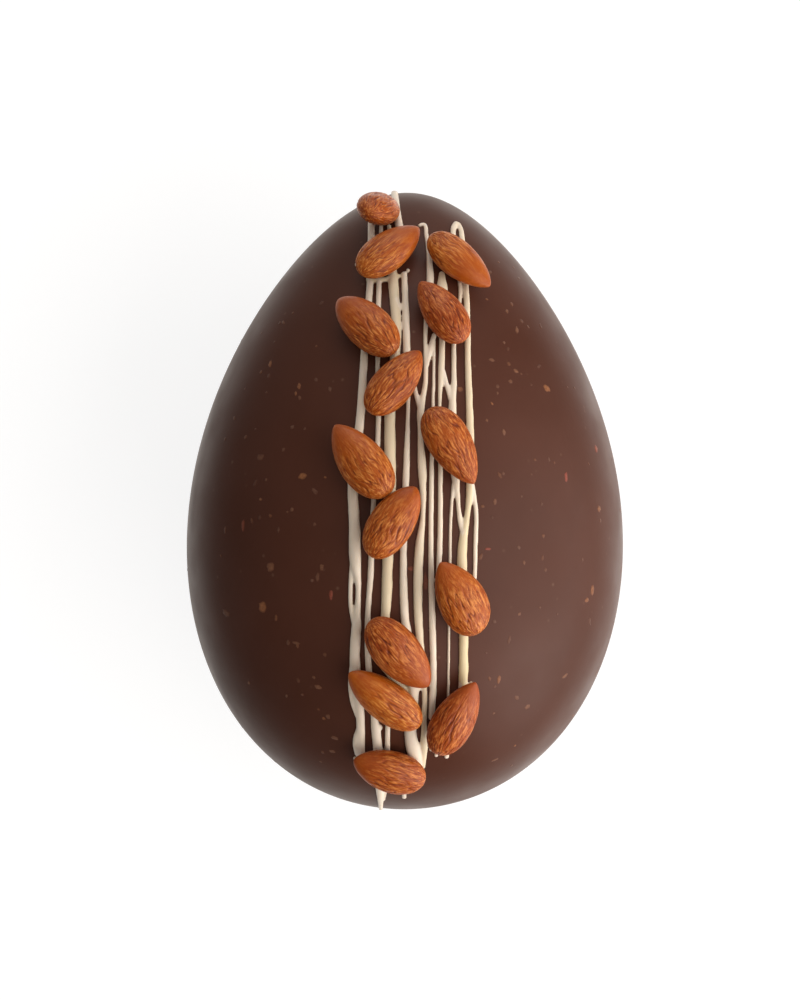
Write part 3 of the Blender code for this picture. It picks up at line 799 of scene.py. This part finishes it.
def skin_points(number, tip_power, fade, half_width, half_length, half_thick):
    """An almond's wrinkled skin about its middle, tip towards +Y, with its grooves and ridges."""
    bend = random.Random(100 + number).uniform(-ALMOND_BEND, ALMOND_BEND) * half_width
    phase = ALMOND_PHASE * number
    points, grooves, crests = [], [], []
    for ring in range(1, ALMOND_ALONG):
        place = -math.cos(math.pi * ring / ALMOND_ALONG)
        share = almond_outline(place, tip_power)
        wrinkled = 0.15 + 0.85 * min(1.0, max(0.0, 0.5 + (fade - place) / 0.7))
        for side in range(ALMOND_AROUND):
            turn = 2 * math.pi * side / ALMOND_AROUND
            c, s = math.cos(turn), math.sin(turn)
            groove, crest = skin_relief(c, s, place, phase)
            groove *= wrinkled
            swell = 0.25 * noise.noise(Vector((2 * c + phase, 2 * s, 1.6 * place + 7)))
            shrink = (groove * GROOVE_DEPTH + (0.5 + swell) * ALMOND_INSET) * min(1, 3 * share)
            points.append(((half_width * share - shrink) * c + bend * (1 - place ** 2),
                           place * half_length, (half_thick * share - shrink) * s))
            grooves.append(groove)
            crests.append(crest * wrinkled)
    # the two end points take some of the grooves' painted shade too
    for end, groove in ((-1, 0.6), (1, 0.2)):
        points.append((0, end * half_length * 0.995, 0))
        grooves.append(groove)
        crests.append(0)
    return np.array(points), grooves, crests


def skin_faces():
    """Faces between the rings of an almond, and fans to its two end points."""
    blunt = (ALMOND_ALONG - 1) * ALMOND_AROUND
    last = blunt - ALMOND_AROUND
    faces = []
    for side in range(ALMOND_AROUND):
        after = (side + 1) % ALMOND_AROUND
        faces.append((blunt, after, side))
        faces.append((blunt + 1, last + side, last + after))
        for near in range(0, last, ALMOND_AROUND):
            far = near + ALMOND_AROUND
            faces.append((near + side, near + after, far + after, far + side))
    return faces


def add_almond(number, tip_power, redness, fade):
    """One almond with its wrinkled skin, in place of its CAD node."""
    node = f"almond_{number:02d}"
    origin, axes, half_sizes = almond_frame(node)
    points, grooves, crests = skin_points(number, tip_power, fade, *half_sizes)
    mesh = bpy.data.meshes.new(node + "_skin")
    mesh.from_pydata((origin + points @ axes.T).tolist(), [], skin_faces())
    face_outward(mesh)
    store(mesh, "skin_place", points)
    store(mesh, "groove", grooves)
    store(mesh, "crest", crests)
    mesh.shade_smooth()
    mesh.materials.append(almond_material(f"almond_skin_{number:02d}", number, redness))
    almond = add_object(node + "_skin", mesh)
    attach(almond, "root")
    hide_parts(node)


def add_camera():
    """Straight over the egg, turned so that the egg leans as in the photograph."""
    data = bpy.data.cameras.new("camera")
    data.sensor_width = SENSOR
    data.lens = SENSOR * EYE_HEIGHT * SCALE / FRAME_HEIGHT
    data.shift_x = (FRAME_WIDTH / 2 - MIDDLE_X) / FRAME_HEIGHT
    data.shift_y = (MIDDLE_Y - FRAME_HEIGHT / 2) / FRAME_HEIGHT
    camera = bpy.data.objects.new("camera", data)
    camera.location = CENTRE + np.array((0, 0, EYE_HEIGHT))
    camera.rotation_euler = (0, 0, LEAN)
    bpy.context.scene.collection.objects.link(camera)
    bpy.context.scene.camera = camera


def add_panel(name, place, size, power, colour):
    """A square soft light aimed at the egg."""
    data = bpy.data.lights.new(name, "AREA")
    data.shape = "SQUARE"
    data.size = size
    data.energy = power
    data.color = colour
    panel = bpy.data.objects.new(name, data)
    panel.location = place
    aim = Vector(CENTRE) - Vector(place)
    panel.rotation_euler = aim.to_track_quat("-Z", "Y").to_euler()
    bpy.context.scene.collection.objects.link(panel)


def add_studio():
    """A pale floor, a broad light from the right with a small one below it, and one beyond the tip."""
    bpy.ops.mesh.primitive_plane_add(size=2 * BACKDROP_RADIUS)
    floor = bpy.context.active_object
    floor.name = "floor"
    n = Nodes(bpy.data.materials.new("pale_floor"))
    n.set(Base_Color=(FLOOR_SHADE, FLOOR_SHADE, FLOOR_SHADE, 1), Roughness=0.9)
    n.set(Emission_Color=WHITE, Emission_Strength=FLOOR_GLOW)
    floor.data.materials.append(n.owner)
    floor.visible_glossy = False
    add_backdrop()
    for name, panel in PANELS.items():
        add_panel(name, *panel)
    add_surround()
    bpy.context.scene.view_settings.view_transform = "Standard"


def add_backdrop():
    """A pale dome that only the camera sees, for the views from the side."""
    bpy.ops.mesh.primitive_uv_sphere_add(segments=64, ring_count=32, radius=BACKDROP_RADIUS)
    dome = bpy.context.active_object
    dome.name = "backdrop"
    n = Nodes(bpy.data.materials.new("pale_backdrop"))
    n.set(Base_Color=BLACK, Specular_IOR_Level=0, Emission_Color=WHITE, Emission_Strength=1)
    dome.data.materials.append(n.owner)
    dome.visible_diffuse = False
    dome.visible_glossy = False
    dome.visible_transmission = False
    dome.visible_shadow = False


def add_surround():
    """A dim surround: brighter below, as off a pale table, to the right and beyond the tip."""
    world = bpy.data.worlds.new("surround")
    n = Nodes(world, "Background")
    direction = n.add("ShaderNodeSeparateXYZ")
    n.link(n.add("ShaderNodeTexCoord").outputs["Generated"], direction.inputs[0])
    by_height = n.add("ShaderNodeFloatCurve")
    by_height.mapping.use_clip = False
    curve = by_height.mapping.curves[0]
    for point, place in zip(curve.points, (SURROUND[0], SURROUND[-1])):
        point.location = place
    for place in SURROUND[1:-1]:
        curve.points.new(*place)
    by_height.mapping.update()
    n.link(n.spread(direction.outputs["Z"], -1, 1), by_height.inputs["Value"])
    to_right = n.math("MULTIPLY", direction.outputs["X"], RIGHT_SHARE)
    to_tip = n.math("MAXIMUM", direction.outputs["Y"], 0)
    share = n.math("ADD", n.math("ADD", to_right, n.math("MULTIPLY", to_tip, TIP_SHARE)), 1)
    around = n.math("MULTIPLY", by_height.outputs["Value"], share)
    strength = n.math("ADD", around, n.math("MULTIPLY", n.math("POWER", to_tip, 3), TIP_SHINE))
    n.set(Color=SURROUND_COLOUR, Strength=strength)
    bpy.context.scene.world = world


add_camera()
add_studio()
add_shell()
add_drizzle()
add_flecks()
for number, looks in enumerate(ALMONDS, start=1):
    add_almond(number, *looks)
